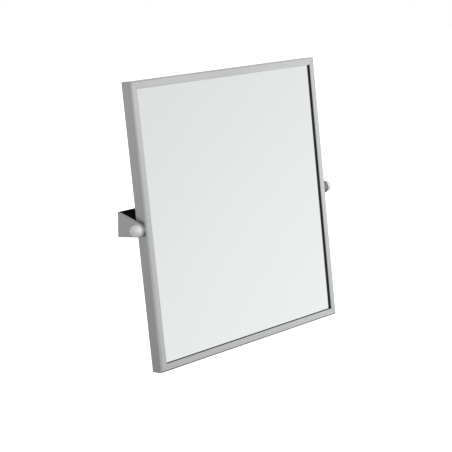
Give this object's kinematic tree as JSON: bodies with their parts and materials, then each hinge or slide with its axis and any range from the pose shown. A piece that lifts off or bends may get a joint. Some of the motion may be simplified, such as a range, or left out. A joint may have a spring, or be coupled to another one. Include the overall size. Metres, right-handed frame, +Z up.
{
  "type": "pivot wall mirror",
  "caption": "Rectangular wall mirror in a brushed steel channel frame that tilts on friction pivots between two wall brackets with domed caps.",
  "frame": {"origin": "on the wall plane, midway between the two brackets and level with the pivot axis", "axes": "+X to the right along the wall and along the pivot axis, +Y into the wall, +Z up; the mirror faces -Y"},
  "size_m": [0.6074, 0.12, 0.5973],
  "materials": {
    "brushed_steel": "satin brushed along the rail",
    "galvanised_steel": "matt galvanised with a faint spangle",
    "zinc_plate": "bright zinc plate",
    "polished_cap": "soft polished",
    "silvered_glass": "clear silvered glass, polished",
    "black_rubber": "matt",
    "grey_foam": "closed-cell foam",
    "black_coat": "matt black powder coat",
    "white_nylon": "matt",
    "dark_nylon": "matt"
  },
  "bodies": {
    "wall_brackets": {"bracket_cheek_left": "brushed_steel", "bracket_cheek_right": "brushed_steel", "cheek_nut_left_1": "zinc_plate", "cheek_nut_left_2": "zinc_plate", "wave_washer_left": "zinc_plate", "cap_seat_left": "dark_nylon", "bracket_body_left": "black_coat", "dome_cap_left": "polished_cap", "cheek_nut_right_1": "zinc_plate", "cheek_nut_right_2": "zinc_plate", "wave_washer_right": "zinc_plate", "cap_seat_right": "dark_nylon", "bracket_body_right": "black_coat", "dome_cap_right": "polished_cap"},
    "tilting_mirror": {"frame_rail_top": "brushed_steel", "frame_rail_right": "brushed_steel", "frame_rail_bottom": "brushed_steel", "frame_rail_left": "brushed_steel", "glazing_tape_top": "black_rubber", "glazing_tape_right": "black_rubber", "glazing_tape_bottom": "black_rubber", "glazing_tape_left": "black_rubber", "corner_screw_top_1": "zinc_plate", "corner_screw_top_2": "zinc_plate", "corner_screw_right_1": "zinc_plate", "corner_screw_right_2": "zinc_plate", "corner_screw_bottom_1": "zinc_plate", "corner_screw_bottom_2": "zinc_plate", "corner_screw_left_1": "zinc_plate", "corner_screw_left_2": "zinc_plate", "edge_block_top_1": "white_nylon", "edge_block_top_2": "white_nylon", "edge_block_right_1": "white_nylon", "edge_block_right_2": "white_nylon", "edge_block_bottom_1": "white_nylon", "edge_block_bottom_2": "white_nylon", "edge_block_left_1": "white_nylon", "edge_block_left_2": "white_nylon", "corner_plate_top_right": "galvanised_steel", "corner_plate_bottom_right": "galvanised_steel", "corner_plate_bottom_left": "galvanised_steel", "corner_plate_top_left": "galvanised_steel", "back_panel": "galvanised_steel", "mirror_pane": "silvered_glass", "foam_pad": "grey_foam", "pivot_plate_left": "galvanised_steel", "lock_nut_left": "zinc_plate", "pivot_bolt_left": "zinc_plate", "friction_washer_left": "dark_nylon", "pivot_plate_right": "galvanised_steel", "lock_nut_right": "zinc_plate", "pivot_bolt_right": "zinc_plate", "friction_washer_right": "dark_nylon"}
  },
  "joints": [
    {"name": "tilt", "type": "hinge", "parent": "wall_brackets", "child": "tilting_mirror", "pos_m": [0, -0.066, 0], "axis": [1, 0, 0], "range_deg": [-0.8, 16.8]}
  ]
}
